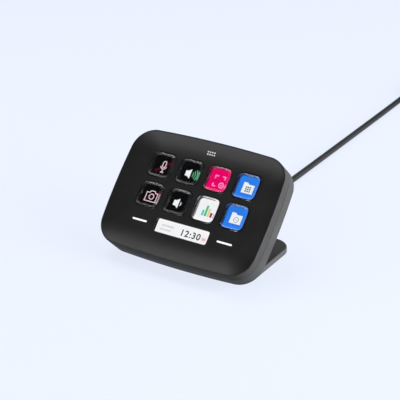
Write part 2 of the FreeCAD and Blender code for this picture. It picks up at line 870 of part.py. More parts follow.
def make_foot_plate():
    """Flat foot behind the body's lower edge, with pockets for the pad and the weight."""
    foot = foot_plan(0, foot_front, foot_bottom, foot_top)
    for height, radius in ((foot_top, foot_top_radius), (foot_bottom, foot_bottom_radius)):
        rim = [e for e in foot.Edges if e.BoundBox.ZLength < 1e-6 and abs(e.BoundBox.ZMin - height) < 1e-6]
        foot = foot.makeFillet(radius, rim)
    cuts = [pad_shape(0), weight_shape(0)]
    for x, y in foot_screw_places():
        cuts.append(peg(x, y, foot_screw[1] + screw_clearance, foot_bottom - 1, foot_screw_seat()))
        cuts.append(peg(x, y, foot_screw[0] + screw_clearance, foot_bottom - 1, foot_top + 1))
    return foot.cut(cuts)


def foot_screw_places():
    places = []
    for step in foot_screw_steps:
        places.extend(mirrored_x(foot_screw_x, wedge_back - step))
    return places


def foot_screw_seat():
    return pad_top() + foot_screw[2] + 0.1


def pad_top():
    return foot_bottom + pad_thickness - pad_proud


def pad_shape(clearance):
    inset = pad_inset + clearance
    return foot_plan(inset, foot_front + inset, -grid_height, pad_top())


def weight_shape(clearance):
    front = wedge_back + weight_behind_wedge + clearance
    return foot_plan(weight_inset + clearance, front, pad_top(), pad_top() + weight_thickness)


def grip_block(width, height, y_low, y_high, axis_z):
    """A moulded grip along Y with well rounded long edges and softened ends."""
    block = plate(0, 0, width, height, height / 2 - 0.3, 0, y_high - y_low)
    ends = [e for e in block.Edges if e.BoundBox.ZLength < 1e-6]
    block = block.makeFillet(0.6, ends)
    block.rotate(Vector(0, 0, 0), Vector(1, 0, 0), -90)
    block.translate(Vector(0, y_low, axis_z))
    return block


def hollow_bar(width, height, metal, radius, y_low, y_high, floor):
    """A metal plug shell along Y about Z = 0, open at its low end and closed by a floor at its high end."""
    outer = plate(0, 0, width, height, radius, 0, y_high - y_low)
    inner = plate(0, 0, width - 2 * metal, height - 2 * metal, max(radius - metal, 0.2), -1,
                  y_high - y_low - floor)
    bar = outer.cut(inner)
    bar.rotate(Vector(0, 0, 0), Vector(1, 0, 0), -90)
    bar.translate(Vector(0, y_low, 0))
    return bar


# The near plug, in the desk frame
plug_axis_z = grid_height + port_z
wall_face_y = grid_y + wedge_back
grip_start_y = wall_face_y + grip_gap
grip_end_y = grip_start_y + grip_length
relief_end_y = grip_end_y + relief_length


def make_plug_shell():
    start = grip_start_y - plug_shell_length
    shell = hollow_bar(plug_shell_width, plug_shell_height, plug_shell_metal, plug_shell_height / 2 - 0.05,
                       start, grip_start_y, 0.8)
    shell.translate(Vector(0, 0, plug_axis_z))
    return shell


def make_plug_grip():
    return grip_block(grip_width, grip_height, grip_start_y, grip_end_y, plug_axis_z)


def make_relief():
    """The tapered strain relief behind the near plug's grip."""
    base = Vector(0, grip_end_y, plug_axis_z)
    return Part.makeCone(relief_start / 2, relief_end / 2, relief_length, base, Vector(0, 1, 0))


def route_radii(points):
    """Each inner point's arc, as large as its two runs allow."""
    radii = []
    for before, corner, after in zip(points, points[1:], points[2:]):
        into = corner - before
        out = after - corner
        turn = into.getAngle(out)
        radii.append(0.45 * min(into.Length, out.Length) / math.tan(turn / 2))
    return radii


def tube(path, start, direction):
    circle = Part.Wire(Part.makeCircle(cable_diameter / 2, start, direction))
    return path.makePipeShell([circle], True, False)


def report_tube(name, solid, path):
    section = math.pi * cable_diameter ** 2 / 4
    print(name, "length", round(path.Length, 1), "volume over section times length",
          round(solid.Volume / (section * path.Length), 4))


def make_cable_run():
    points = [Vector(0, relief_end_y, plug_axis_z)] + [Vector(*point) for point in cable_route]
    radii = route_radii(points)
    print("cable run radii", [round(radius, 1) for radius in radii])
    path = bent_path(points, radii)
    solid = tube(path, points[0], points[1] - points[0])
    report_tube("cable run", solid, path)
    return solid, path.Length


def coil_inner_turn():
    """How many turns spiral in along the desk before the cable climbs; as many spiral out on top."""
    return (coil_turns - coil_climb) / 2


def coil_outer_radius():
    return coil_mean_diameter / 2 + coil_inner_turn() * coil_spacing / 2


def coil_centre():
    x, y, z = cable_route[-1]
    return Vector(x + coil_outer_radius(), y, z)


def coil_reach(turn):
    """The coil's radius and its rise after a number of turns."""
    outer = coil_outer_radius()
    inner_turn = coil_inner_turn()
    if turn <= inner_turn:
        return outer - coil_spacing * turn, 0.0
    if turn >= inner_turn + coil_climb:
        return outer - coil_spacing * (coil_turns - turn), coil_spacing
    share = (turn - inner_turn) / coil_climb
    radius = outer - coil_spacing * (inner_turn + coil_climb * share * (1 - share))
    return radius, coil_spacing * share * share * (3 - 2 * share)


def coil_point(turn):
    """The coil's centre line: clockwise seen from above, from its left side."""
    radius, rise = coil_reach(turn)
    angle = math.pi - 2 * math.pi * turn
    return coil_centre() + Vector(radius * math.cos(angle), radius * math.sin(angle), rise)


def coil_direction(turn):
    """The centre line's direction; both ends are square to their circle."""
    if turn == 0:
        return Vector(0, 1, 0)
    if turn == coil_turns:
        return Vector(1, 0, 0)
    step = 0.002
    return (coil_point(turn + step) - coil_point(turn - step)).normalize()


def biarc(start, start_way, end, end_way):
    """Two tangent arcs between two points with given directions."""
    chord = end - start
    spread = 2 * (1 - start_way.dot(end_way))
    along = chord.dot(start_way + end_way)
    reach = (math.sqrt(along ** 2 + spread * chord.dot(chord)) - along) / spread
    first_corner = start + start_way * reach
    last_corner = end - end_way * reach
    joint = (first_corner + last_corner) * 0.5
    return arc_in_corner(start, first_corner, joint) + arc_in_corner(joint, last_corner, end)


def arc_in_corner(start, corner, end):
    """The arc that leaves one point and arrives at another along two equal tangents."""
    half_chord = (end - start).Length / 2
    side = (corner - start).Length
    weight = half_chord / side
    middle = (start + end) * 0.5
    crown = middle + (corner - middle) * (weight / (1 + weight))
    return [Part.Arc(start, crown, end).toShape()]


def coil_tail():
    start = coil_point(coil_turns)
    return [start + Vector(*step) for step in tail_steps]


def make_cable_coil():
    edges = []
    for quarter in range(int(4 * coil_turns)):
        first = quarter / 4
        last = (quarter + 1) / 4
        edges.extend(biarc(coil_point(first), coil_direction(first), coil_point(last), coil_direction(last)))
    tail = coil_tail()
    radii = route_radii(tail)
    print("cable tail radii", [round(radius, 1) for radius in radii])
    edges.extend(bent_path(tail, radii).Edges)
    path = Part.Wire(edges)
    solid = tube(path, coil_point(0), coil_direction(0))
    report_tube("cable coil", solid, path)
    print("least gap of the coil to itself", round(least_gap(path), 2))
    return solid, path.Length


def least_gap(path):
    """The least room between stretches of a path that lie over a third of a turn apart."""
    step = 1.0
    points = path.discretize(Distance=step)
    apart = int(coil_mean_diameter / step)
    return min((first - second).Length
               for index, first in enumerate(points) for second in points[index + apart:]) - cable_diameter


def make_coil_tie():
    """A band round all turns at the coil's right side."""
    reaches = [coil_reach(turn)[0] for turn in right_side_turns()]
    low = min(reaches) - cable_diameter / 2 - tie_clearance
    high = max(reaches) + cable_diameter / 2 + tie_clearance
    centre = coil_centre()
    floor = centre.z - cable_diameter / 2 - 0.1
    top = centre.z + coil_spacing + cable_diameter / 2 + 0.1
    width = high - low
    middle = centre.x + (low + high) / 2
    outer = plate(middle, (floor + top) / 2, width + 2 * tie_thickness, top - floor + 2 * tie_thickness, 1.6,
                  -tie_width / 2, tie_width / 2)
    inner = plate(middle, (floor + top) / 2, width, top - floor, 0.8, -tie_width, tie_width)
    tie = outer.cut(inner)
    tie.rotate(Vector(0, 0, 0), Vector(1, 0, 0), 90)
    tie.translate(Vector(0, centre.y, 0))
    return tie


def right_side_turns():
    """The turn counts at which the cable passes the coil's right side."""
    return [0.5 + count for count in range(int(coil_turns))]


def along_x(shape, base):
    """A shape drawn along Y from the origin, turned to run along X from a base point."""
    copy = shape.copy()
    copy.rotate(Vector(0, 0, 0), Vector(0, 0, 1), -90)
    copy.translate(base)
    return copy


def save_host_plug():
    end = coil_tail()[-1]
    save("host_relief", make_host_relief(end))
    grip_start = end + Vector(relief_length, 0, 0)
    save("host_grip", along_x(grip_block(host_grip_width, host_grip_height, 0, host_grip_length, 0), grip_start))
    shell = hollow_bar(host_shell_width, host_shell_height, host_shell_metal, 0.5, 0, host_shell_length, 0.8)
    shell.rotate(Vector(0, host_shell_length / 2, 0), Vector(0, 0, 1), 180)
    shell_start = grip_start + Vector(host_grip_length, 0, 0)
    save("host_plug", along_x(shell, shell_start))
    save("host_tongue", along_x(make_host_tongue(), shell_start))


def make_host_relief(end):
    return Part.makeCone(relief_end / 2, relief_start / 2, relief_length, end, Vector(1, 0, 0))


def make_host_tongue():
    """The plastic tongue in the lower half of the far plug, on the shell's inner floor."""
    half = host_shell_width / 2 - host_shell_metal - 0.1
    low = -host_shell_height / 2 + host_shell_metal
    return box(-half, half, 0.8, host_shell_length - 0.6, low, low + 1.8)


def save(name, shape):
    """Write a shape that is already in the desk frame."""
    if not shape.isValid():
        print("not valid:", name)
    shape.exportStep("parts/" + name + ".step")


def stand(shape):
    """A face-frame shape, tilted back and set over the desk."""
    copy = shape.copy()
    copy.rotate(Vector(0, 0, 0), Vector(1, 0, 0), face_tilt)
    copy.translate(Vector(0, grid_y, grid_height))
    return copy


def drop_in(shape):
    """A shape in desk directions about the grid's centre, moved to the part's origin."""
    copy = shape.copy()
    copy.translate(Vector(0, grid_y, grid_height))
    return copy


def screws(sizes, places, seat, length, out):
    return Part.makeCompound([screw(sizes, x, y, seat, length, out) for x, y in places])


def save_body():
    save("front_bezel", stand(make_front_bezel()))
    save("rear_shell", stand(make_rear_shell()))
    for number, (x, y) in enumerate(key_centres(), start=1):
        save("key_cap_" + str(number), stand(make_key_cap(x, y)))
    save("key_frame", stand(make_key_frame()))
    save("key_mat", stand(make_key_mat()))
    save("contact_film", stand(make_contact_film()))
    save("lcd_panel", stand(make_lcd_panel()))
    save("lcd_backlight", stand(make_lcd_backlight()))
    save("lcd_tray", stand(make_lcd_tray()))
    save("info_lens", stand(make_info_lens()))
    save("info_display", stand(make_info_display()))
    save("touch_light_pipe_left", stand(make_light_pipe(-bar_offset)))
    save("touch_light_pipe_right", stand(make_light_pipe(bar_offset)))
    save("touch_board", stand(make_touch_board()))
    save("touch_leds", stand(make_touch_leds()))
    save("main_board", stand(make_main_board()))
    save("main_board_chips", stand(make_main_board_chips()))
    save("flex_connectors", stand(make_flex_connectors()))
    save("lcd_flex", stand(make_lcd_flex()))
    save("touch_flex", stand(make_touch_flex()))
    save("usb_link", stand(make_usb_link()))
    save("usb_board", stand(make_usb_board()))
    save("usb_receptacle", stand(make_usb_receptacle()))
    save("usb_tongue", stand(make_usb_tongue()))


def save_screws():
    head_floor = -face_to_back + case_screw[2] + 0.1
    save("case_screws", stand(screws(case_screw, case_screw_places(), head_floor, case_screw_length, -1)))
    save("tray_screws", stand(screws(small_screw, tray_screw_places(), tray_bottom, small_screw_length, -1)))
    save("touch_board_screws", stand(screws(small_screw, touch_screw_places(), touch_board_back, 2.4, -1)))
    save("board_screws", stand(screws(board_screw, board_screw_places(), board_front, board_screw_length, 1)))
    usb_places = [(usb_screw_x, usb_board_middle()), (-usb_screw_x, usb_board_middle())]
    save("usb_board_screws", drop_in(screws(small_screw, usb_places, usb_board_top(), small_screw_length, 1)))
    save("foot_screws", drop_in(screws(foot_screw, foot_screw_places(), foot_screw_seat(),
                                       foot_screw_length, -1)))


def save_foot():
    save("foot_plate", drop_in(make_foot_plate()))
    save("foot_weight", drop_in(weight_shape(0.1)))
    save("foot_pad", drop_in(pad_shape(0.1)))


def save_cable():
    save("plug_shell", make_plug_shell())
    save("plug_grip", make_plug_grip())
    save("plug_relief", make_relief())
    run, run_length = make_cable_run()
    save("usb_cable_run", run)
    coil, coil_length = make_cable_coil()
    save("usb_cable_coil", coil)
    save("coil_tie", make_coil_tie())
    save_host_plug()
    print("cable length", round(run_length + coil_length, 1), "of", cable_length)
    print("relief ends at", round(relief_end_y, 3), round(plug_axis_z, 3), "grid centre y", round(grid_y, 4))


save_body()
save_screws()
save_foot()
save_cable()
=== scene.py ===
import bpy
import bmesh
import math
from mathutils import Matrix, Vector


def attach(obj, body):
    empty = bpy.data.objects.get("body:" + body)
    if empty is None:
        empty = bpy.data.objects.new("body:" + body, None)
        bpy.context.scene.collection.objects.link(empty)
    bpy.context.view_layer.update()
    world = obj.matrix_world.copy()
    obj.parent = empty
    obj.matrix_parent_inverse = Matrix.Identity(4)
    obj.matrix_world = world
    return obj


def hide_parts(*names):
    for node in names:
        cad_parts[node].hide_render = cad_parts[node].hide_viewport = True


# The display keypad on its foot, dressed over its CAD frame.
#
# Blender works in metres in the part's desk frame. What belongs to the sloping face is drawn in
# millimetres in the face frame: X to the right, Y up the face, Z out of it, from the middle of the
# key grid.

MM = 0.001
FACE_TILT = math.radians(46.0)

# The key grid and the middle of the display panel behind it, in the face frame
PANEL_MIDDLE = -4.9
KEY_PITCH = 19.5
KEY_COLUMNS = 4
KEY_ROWS = 2
MIDDLE_COLUMN = (KEY_COLUMNS - 1) / 2
MIDDLE_ROW = (KEY_ROWS - 1) / 2

# Clear caps, in the face frame
CAP_WIDTH = 15.0
CAP_HEIGHT = 15.3
CAP_RIM_TOP = 0.79
CAP_BAND_BOTTOM = -0.6
CAP_BAND_TOP = 0.50
CAP_DISH_DEPTH = 0.34
CAP_DISH_SHARES = (0.93, 0.85, 0.75, 0.65, 0.55, 0.45, 0.35, 0.25, 0.15, 0.06)
CAP_RING_POINTS = 96
CAP_SQUARENESS = 5.5
CAP_CREASE = math.radians(35.0)
FLANGE_REACH = 0.7
FLANGE_TOP = -1.8
FLANGE_BOTTOM = -2.5
PLINTH_INSET = 0.6
PLINTH_BOTTOM = -3.0

# A cap's finishes, by their place among its materials
CLEAR = 0
DARK_BAND = 1
SATIN_RIM = 2

# What the display shows behind each key, in the face frame
DISPLAY_TOP = -4.3
TILE_WIDTH = 14.3
TILE_HEIGHT = 14.5
TILE_CORNER = 1.9
TILE_THICKNESS = 0.03
MARK_THICKNESS = 0.02
PEN = 0.5
MITRE_LIMIT = 0.4
DISC_POINTS = 24
WAVE_STEP = 1.45
WAVE_SPREAD = 38
SLASH_REACH = 5.2
SLASH_SLOPE = 0.8
FRAME_PEN = 0.8
FRAME_REACH = 3.4
BAR_FOOT = -3.6
BAR_WIDTH = 1.5
BAR_CORNER = 0.4

# The info display, in the face frame. Each mark is its place right and up from the display's middle,
# its width, its height and its corner.
INFO_Y = -26.4
INFO_TOP = -1.5
INFO_GROUND = (0.2, 0.0, 35.4, 8.4, 1.0)
INFO_LINES = ((-10.2, 0.9, 8.4, 1.3, 0.4), (-10.8, -1.6, 7.6, 1.1, 0.4))
INFO_BLUSH = (15.5, -1.2, 3.6, 4.4, 0.4)
INFO_ROSE = (15.4, -1.1, 2.4, 1.4, 0.3)
CLOCK_X = 6.1
CLOCK_UP = -0.7
CLOCK_SIZE = 5.5
CLOCK_WEIGHT = 0.11
CLOCK_SPACING = 1.15
CLOCK_THICKNESS = 0.01

# The dished face above the keys, where the printed mark sits
OUTLINE_TOP = 31.0
RIM_HEIGHT = 2.9
RIM_LAND = 0.9
DISH_WIDTH = 16.0
FACE_MARK_Y = 23.8
FACE_MARK_SINK = 0.05
FACE_MARK_THICKNESS = 0.09
DOT_PITCH = 1.5
DOT_RADIUS = 0.5

# The cable, in metres: the same route as the solid tube's
CABLE_DIAMETER = 0.004
CABLE_ROUTE = [
    (0.0, 0.022768, 0.0112),
    (0.0, 0.0310, 0.0112),
    (0.0, 0.0460, 0.0082),
    (-0.0003, 0.0620, 0.0034),
    (-0.0005, 0.0780, 0.0021),
    (0.0014, 0.2840, 0.0021),
    (0.0014, 0.3010, 0.0029),
    (0.0014, 0.3180, 0.0029),
]
COIL_TURNS = 8.25
COIL_CLIMB = 0.5
COIL_MEAN_DIAMETER = 0.04627
COIL_SPACING = 0.0045
COIL_POINTS_PER_TURN = 16
COIL_CUT_INSIDE = 0.75
TAIL_STEPS = [
    (0.009, 0.0, 0.0),
    (0.022, 0.0, -0.0034),
    (0.031, 0.0, -0.0034),
]

# Moulded surfaces: texture scales are per metre, and changes are shares of the colour or roughness
FINE_GRAIN = 3000.0
COARSE_GRAIN = 2500.0
FINE_DEPTH = 0.12
COARSE_DEPTH = 0.35
GRAIN_HEIGHT = 0.00005
SLOW_SCALE = 60.0
SLOW_DETAIL = 3.0
RAMP_ENDS = (0.3, 0.7)
TONE_CHANGE = 0.12
ROUGHNESS_CHANGE = 0.04

# Clear plastic, and what is lit behind it
CLEAR_TINT = (0.97, 0.98, 1.0)
CLEAR_INDEX = 1.49
CLEAR_WAVE_SCALE = 150.0
CLEAR_WAVE_DEPTH = 0.02
CLEAR_WAVE_HEIGHT = 0.0001
POLISHED = 0.02
SATIN = 0.25
LIT_SCALE = 120.0
LIT_CHANGE = 0.04

# Camera, from the fit to the photograph; its place is from the middle of the key grid
CAMERA_OFFSET = Vector((0.39695, -0.643855, 0.3580))
CAMERA_AXIS = Vector((-0.47136, 0.76785, -0.43386))
CAMERA_LENS = 127.47
CAMERA_SENSOR = 36.0
CAMERA_FAR = 20.0

# Floor and backdrop. Gloss and clear plastic see the backdrop fade upwards from the horizon.
BACKDROP = (0.830, 0.880, 1.0)
FLOOR_COLOUR = (0.137, 0.146, 0.165)
FLOOR_GLOW = 0.85
FLOOR_REACH = 4.0
FLOOR_DROP = 0.0002
FADE_START = 0.02
FADE_END = 0.25
WORLD_FILL = 0.22
WORLD_SHINE = 0.02

# Lamps: name, place, width, height and power
LAMP_TARGET = (0.0, 0.0, 0.03)
LAMPS = [
    ("right_softbox", (1.22, 0.15, 0.42), 1.3, 1.1, 30.0),
    ("front_softbox", (-0.54, -1.08, 0.54), 2.2, 0.5, 11.0),
    ("top_softbox", (-0.38, 0.12, 1.25), 0.9, 0.8, 7.0),
]

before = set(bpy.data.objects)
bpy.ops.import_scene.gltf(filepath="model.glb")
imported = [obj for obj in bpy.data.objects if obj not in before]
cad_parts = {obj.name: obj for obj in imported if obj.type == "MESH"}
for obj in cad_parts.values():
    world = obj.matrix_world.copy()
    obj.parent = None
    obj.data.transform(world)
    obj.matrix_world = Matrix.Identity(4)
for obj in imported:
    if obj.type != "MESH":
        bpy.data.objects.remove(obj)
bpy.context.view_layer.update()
scene = bpy.context.scene


def key_grid_centre():
    """The middle of the key grid on the face, found from the display panel behind it."""
    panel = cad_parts["lcd_panel"]
    corners = [panel.matrix_world @ Vector(corner) for corner in panel.bound_box]
    middle = sum(corners, Vector()) / len(corners)
    return middle - Matrix.Rotation(FACE_TILT, 3, "X") @ Vector((0, 0, PANEL_MIDDLE * MM))


GRID_CENTRE = key_grid_centre()
FACE = Matrix.Translation(GRID_CENTRE) @ Matrix.Rotation(FACE_TILT, 4, "X") @ Matrix.Scale(MM, 4)


def add_camera():
    data = bpy.data.cameras.new("camera")
    data.lens = CAMERA_LENS
    data.sensor_width = CAMERA_SENSOR
    data.clip_end = CAMERA_FAR
    camera = bpy.data.objects.new("camera", data)
    camera.location = GRID_CENTRE + CAMERA_OFFSET
    camera.rotation_euler = CAMERA_AXIS.to_track_quat("-Z", "Y").to_euler()
    scene.collection.objects.link(camera)
    scene.camera = camera


# Materials

def new_material(name):
    """A material, with its nodes, its links and its main shader."""
    material = bpy.data.materials.new(name)
    material.use_nodes = True
    nodes = material.node_tree.nodes
    return material, nodes, material.node_tree.links, nodes["Principled BSDF"]


def noise(nodes, links, scale, detail=2.0):
    """Noise that is fixed to the object."""
    place = nodes.new("ShaderNodeTexCoord")
    texture = nodes.new("ShaderNodeTexNoise")
    texture.inputs["Scale"].default_value = scale
    texture.inputs["Detail"].default_value = detail
    links.new(place.outputs["Object"], texture.inputs["Vector"])
    return texture.outputs["Fac"]


def add_bump(nodes, links, shader, height, strength, distance):
    bump = nodes.new("ShaderNodeBump")
    bump.inputs["Strength"].default_value = strength
    bump.inputs["Distance"].default_value = distance
    links.new(height, bump.inputs["Height"])
    links.new(bump.outputs["Normal"], shader.inputs["Normal"])


def between(nodes, links, factor, dark, light):
    """A colour that changes between two others as the factor does."""
    ramp = nodes.new("ShaderNodeValToRGB")
    for element, position, colour in zip(ramp.color_ramp.elements, RAMP_ENDS, (dark, light)):
        element.position = position
        element.color = (*colour, 1)
    links.new(factor, ramp.inputs["Fac"])
    return ramp.outputs["Color"]


def grained(name, colour, roughness, grain=FINE_GRAIN, depth=FINE_DEPTH, specular=0.5, metallic=0.0):
    """Moulded or pressed surface: a fine grain in its bump, and slow changes of tone and roughness."""
    material, nodes, links, shader = new_material(name)
    add_bump(nodes, links, shader, noise(nodes, links, grain), depth, GRAIN_HEIGHT)
    slow = noise(nodes, links, SLOW_SCALE, SLOW_DETAIL)
    dark = [part * (1 - TONE_CHANGE) for part in colour]
    light = [part * (1 + TONE_CHANGE) for part in colour]
    links.new(between(nodes, links, slow, dark, light), shader.inputs["Base Color"])
    spread = nodes.new("ShaderNodeMapRange")
    spread.inputs["To Min"].default_value = roughness - ROUGHNESS_CHANGE
    spread.inputs["To Max"].default_value = roughness + ROUGHNESS_CHANGE
    links.new(slow, spread.inputs["Value"])
    links.new(spread.outputs["Result"], shader.inputs["Roughness"])
    shader.inputs["Specular IOR Level"].default_value = specular
    shader.inputs["Metallic"].default_value = metallic
    return material


def clear(name, roughness=POLISHED):
    """Clear plastic with the faint waviness of a moulding."""
    material, nodes, links, shader = new_material(name)
    wave = noise(nodes, links, CLEAR_WAVE_SCALE)
    add_bump(nodes, links, shader, wave, CLEAR_WAVE_DEPTH, CLEAR_WAVE_HEIGHT)
    shader.inputs["Base Color"].default_value = (*CLEAR_TINT, 1)
    shader.inputs["Roughness"].default_value = roughness
    shader.inputs["IOR"].default_value = CLEAR_INDEX
    shader.inputs["Transmission Weight"].default_value = 1.0
    return material


def lit(name, colour, strength=1.0):
    """A lit mark or light bar, with the slight unevenness of the light behind it."""
    material, nodes, links, shader = new_material(name)
    dim = [part * (1 - LIT_CHANGE) for part in colour]
    glow = between(nodes, links, noise(nodes, links, LIT_SCALE), dim, colour)
    links.new(glow, shader.inputs["Emission Color"])
    shader.inputs["Emission Strength"].default_value = strength
    shader.inputs["Base Color"].default_value = (0.0, 0.0, 0.0, 1)
    shader.inputs["Roughness"].default_value = 0.3
    shader.inputs["Specular IOR Level"].default_value = 0.0
    return material


def srgb(red, green, blue):
    """A colour as it shows on a screen, 0 to 255, in linear light."""
    parts = [value / 255 for value in (red, green, blue)]
    return tuple(part / 12.92 if part <= 0.04045 else ((part + 0.055) / 1.055) ** 2.4 for part in parts)


def dress(material, *names):
    """CAD nodes get this finish in place of their own."""
    for name in names:
        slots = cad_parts[name].data.materials
        slots.clear()
        slots.append(material)


def dress_sides_painted_light(material, name, outward, limit):
    """The side walls of a node get a second finish, by how far they turn from the way that it faces. It is
    used for a lighter copy of the finish: painted light on the walls that the lamp from the right lights.
    """
    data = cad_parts[name].data
    data.materials.append(material)
    for polygon in data.polygons:
        if abs(polygon.normal.dot(outward)) < limit:
            polygon.material_index = 1


def dress_shells():
    """The two shells and the foot. The bezel's side walls have a rougher finish. The bezel's and the foot's
    side walls, and the foot's rounded top edge, are also painted lighter than the face and the foot's top:
    painted light from the right, and a painted highlight along that edge.
    """
    face_outward = Vector((0, -math.sin(FACE_TILT), math.cos(FACE_TILT)))
    dress(grained("front_shell", (0.0080, 0.0079, 0.0080), 0.34, specular=0.32), "front_bezel")
    # Painted light: the face's black plastic, painted about ten times lighter on the side walls that the
    # lamp from the right lights; the coarse grain and higher roughness are the walls' own
    side = grained("front_shell_side_painted_light", (0.090, 0.090, 0.091), 0.75, grain=COARSE_GRAIN, depth=COARSE_DEPTH,
                   specular=0.05)
    dress_sides_painted_light(side, "front_bezel", face_outward, 0.45)
    rear = grained("rear_shell", (0.094, 0.095, 0.096), 0.7, grain=COARSE_GRAIN, depth=COARSE_DEPTH,
                   specular=0.15)
    dress(rear, "rear_shell")
    dress(grained("foot", (0.052, 0.050, 0.051), 0.5, grain=COARSE_GRAIN, specular=0.3), "foot_plate")
    # Painted light: the foot's plastic, painted lighter on its sides and on the rounding of its top edge, a
    # painted highlight along that edge
    foot_side_painted_light = grained("foot_side_painted_light", (0.110, 0.111, 0.112), 0.6, grain=COARSE_GRAIN, specular=0.3)
    dress_sides_painted_light(foot_side_painted_light, "foot_plate", Vector((0, 0, 1)), 0.93)


def dress_nodes():
    """Every CAD node that stays gets its finish."""
    dress_shells()
    dress(clear("info_lens"), "info_lens")
    dress(lit("light_pipe", (1.0, 1.0, 1.0), 1.1), "touch_light_pipe_left", "touch_light_pipe_right")
    dress(grained("inner_frame", (0.006, 0.006, 0.006), 0.6), "key_frame")
    dress(grained("silicone", (0.012, 0.012, 0.013), 0.65), "key_mat")
    dress(grained("contact_print", (0.010, 0.010, 0.011), 0.5), "contact_film")
    dress(grained("film", (0.35, 0.13, 0.02), 0.35), "lcd_flex", "touch_flex", "usb_link")
    dress(grained("display_glass", (0.004, 0.004, 0.005), 0.12, depth=0.01), "lcd_panel", "info_display")
    dress(grained("light_guide", (0.75, 0.78, 0.82), 0.4), "lcd_backlight")
    dress(grained("steel", (0.45, 0.46, 0.48), 0.35, metallic=1.0), "lcd_tray", "foot_weight")
    dress(grained("screw_steel", (0.14, 0.14, 0.15), 0.35, metallic=1.0), "case_screws", "tray_screws",
          "touch_board_screws", "board_screws", "usb_board_screws", "foot_screws")
    dress(grained("circuit_board", (0.004, 0.045, 0.02), 0.4), "main_board", "touch_board", "usb_board")
    dress(grained("chip", (0.012, 0.012, 0.013), 0.5), "main_board_chips", "usb_tongue")
    dress(grained("led", (0.8, 0.75, 0.5), 0.3), "touch_leds")
    dress(grained("connector", (0.7, 0.66, 0.58), 0.5), "flex_connectors", "host_tongue")
    dress(grained("pad", (0.014, 0.014, 0.014), 0.8), "foot_pad")
    dress(grained("plug_metal", (0.6, 0.61, 0.63), 0.25, metallic=1.0), "usb_receptacle", "plug_shell",
          "host_plug")
    dress(grained("cable_plastic", (0.02, 0.02, 0.022), 0.5), "plug_grip", "plug_relief", "host_relief",
          "host_grip")
    dress(grained("tie", (0.012, 0.012, 0.012), 0.7), "coil_tie")


# Clear key caps

def key_place(number):
    """The middle of a key on the face; keys count from the top left, row by row."""
    row, column = divmod(number - 1, KEY_COLUMNS)
    return (column - MIDDLE_COLUMN) * KEY_PITCH, (MIDDLE_ROW - row) * KEY_PITCH


def squircle(width, height, z):
    """A rounded square with slightly bowed sides."""
    ring = []
    for step in range(CAP_RING_POINTS):
        angle = 2 * math.pi * step / CAP_RING_POINTS
        across = abs(2 * math.cos(angle) / width) ** CAP_SQUARENESS
        up = abs(2 * math.sin(angle) / height) ** CAP_SQUARENESS
        reach = (across + up) ** (-1 / CAP_SQUARENESS)
        ring.append(Vector((reach * math.cos(angle), reach * math.sin(angle), z)))
    return ring


def cap_levels():
    """The cap's outline from its underside up: how far in, how high, and the finish of the wall below."""
    foot = [(PLINTH_INSET, PLINTH_BOTTOM), (PLINTH_INSET, FLANGE_BOTTOM), (-FLANGE_REACH, FLANGE_BOTTOM),
            (-FLANGE_REACH, FLANGE_TOP), (0.0, FLANGE_TOP), (0.0, CAP_BAND_BOTTOM)]
    band = [(0.0, 0.30), (0.04, 0.42), (0.12, CAP_BAND_TOP)]
    bevel = [(0.26, 0.556), (0.55, 0.661), (0.84, 0.766), (0.93, 0.784), (1.02, CAP_RIM_TOP), (1.12, 0.782)]
    return [(inset, z, finish) for finish, steps in ((CLEAR, foot), (DARK_BAND, band), (SATIN_RIM, bevel))
            for inset, z in steps]


def cap_rings():
    """The cap's rings from its underside to the middle of its dish, each with the finish before it.

    The rim's finish runs on to the first ring of the dish."""
    rings = [(squircle(CAP_WIDTH - 2 * inset, CAP_HEIGHT - 2 * inset, z), finish)
             for inset, z, finish in cap_levels()]
    inset, edge_z, finish = cap_levels()[-1]
    for share in CAP_DISH_SHARES:
        width = (CAP_WIDTH - 2 * inset) * share
        height = (CAP_HEIGHT - 2 * inset) * share
        rings.append((squircle(width, height, edge_z - CAP_DISH_DEPTH * (1 - share ** 2)), finish))
        finish = CLEAR
    return rings


def join_rings(mesh, low, high):
    """A band of faces between two rings of as many points."""
    faces = []
    for index in range(len(low)):
        following = (index + 1) % len(low)
        faces.append(mesh.faces.new((low[index], low[following], high[following], high[index])))
    return faces


def add_cap(number, materials):
    """A clear cap with a satin bevelled rim round a dished top, and a near-black band round its edge."""
    rings = cap_rings()
    mesh = bmesh.new()
    rows = [[mesh.verts.new(point) for point in ring] for ring, finish in rings]
    mesh.faces.new(list(reversed(rows[0])))
    mesh.faces.new(rows[-1])
    for low, high, (ring, finish) in zip(rows, rows[1:], rings[1:]):
        for face in join_rings(mesh, low, high):
            face.material_index = finish
    mesh.transform(FACE @ Matrix.Translation((*key_place(number), 0)))
    name = "key_" + str(number) + "_cap"
    data = bpy.data.meshes.new(name)
    mesh.to_mesh(data)
    mesh.free()
    data.shade_smooth()
    data.set_sharp_from_angle(angle=CAP_CREASE)
    for material in materials:
        data.materials.append(material)
    cap = bpy.data.objects.new(name, data)
    scene.collection.objects.link(cap)
    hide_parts("key_cap_" + str(number))
    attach(cap, "key_" + str(number))


def add_caps():
    # A near-black band round the cap's outer wall, just under its rim
    dark_band = grained("key_edge", (0.005, 0.005, 0.006), 0.5)
    materials = [clear("clear_key"), dark_band, clear("key_rim", roughness=SATIN)]
    for number in range(1, KEY_COLUMNS * KEY_ROWS + 1):
        add_cap(number, materials)


# Flat marks on the displays: each is a list of polygons, in millimetres from the middle of its key

def arc(x, y, radius, start, end, steps=12):
    """Points along an arc about a centre; angles in degrees, anticlockwise from the right."""
    points = []
    for step in range(steps + 1):
        angle = math.radians(start + (end - start) * step / steps)
        points.append((x + radius * math.cos(angle), y + radius * math.sin(angle)))
    return points


def disc(x, y, radius):
    """The outline of a disc, which doesn't repeat its first point."""
    return arc(x, y, radius, 0, 360 - 360 / DISC_POINTS, DISC_POINTS - 1)


